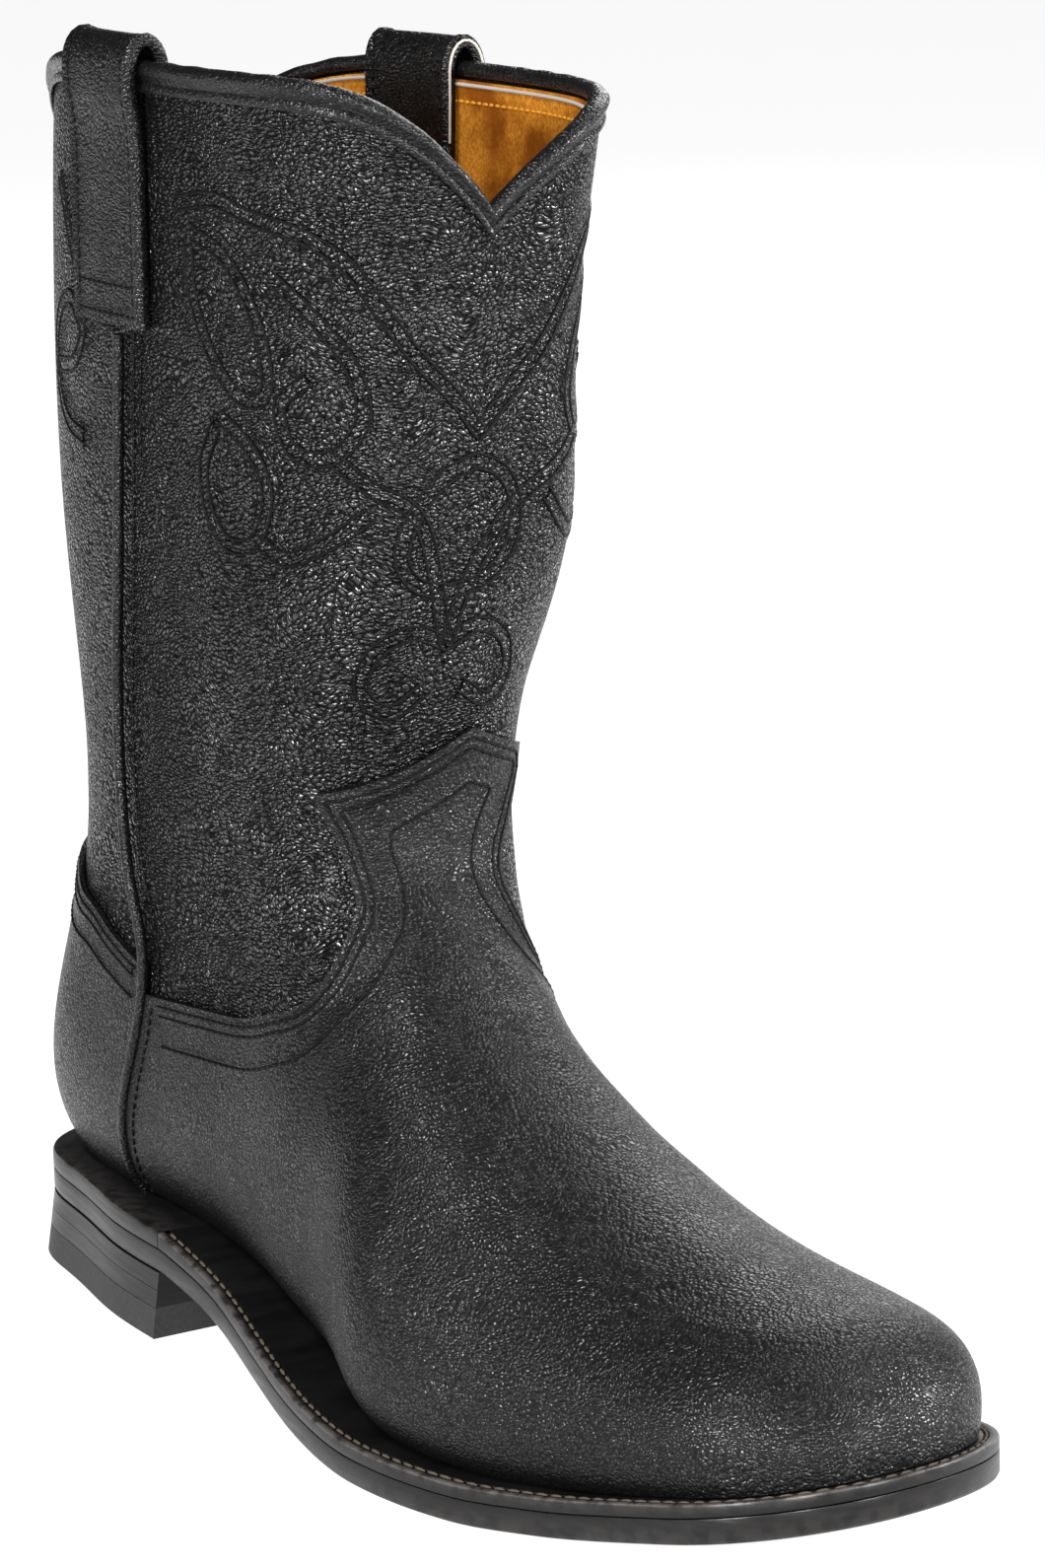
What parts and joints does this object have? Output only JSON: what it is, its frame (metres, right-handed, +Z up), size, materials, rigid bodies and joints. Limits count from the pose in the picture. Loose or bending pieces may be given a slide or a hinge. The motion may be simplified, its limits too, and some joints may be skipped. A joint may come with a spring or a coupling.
{
  "type": "roper boot",
  "caption": "Pull-on roper boot with a hollow shaft, scalloped collar, rounded toe, welted leather sole and low stacked heel.",
  "frame": {"origin": "on the ground, under the middle of the heel", "axes": "+X to the toe, +Y to the wearer's left (the inner side of this right boot), +Z up the shaft"},
  "size_m": [0.316, 0.115, 0.2867],
  "materials": {
    "upper_leather": "semi-gloss black pebbled leather",
    "sole_leather": "black edge-dressed sole leather",
    "heel_rubber": "matt black rubber top lift",
    "lining_suede": "tan suede lining",
    "trim_leather": "smooth glossy black leather of the collar binding, piping and pull straps"
  },
  "bodies": {
    "root": {"upper": "upper_leather", "insole": "lining_suede", "welt": "sole_leather", "heel_rand": "sole_leather", "outsole": "sole_leather", "heel_lift_1": "sole_leather", "heel_lift_2": "sole_leather", "top_lift": "heel_rubber", "vamp": "upper_leather", "counter": "upper_leather", "side_piping_outer": "trim_leather", "side_piping_inner": "trim_leather", "collar_binding": "trim_leather", "pull_strap_outer": "trim_leather", "pull_strap_inner": "trim_leather"}
  },
  "joints": []
}
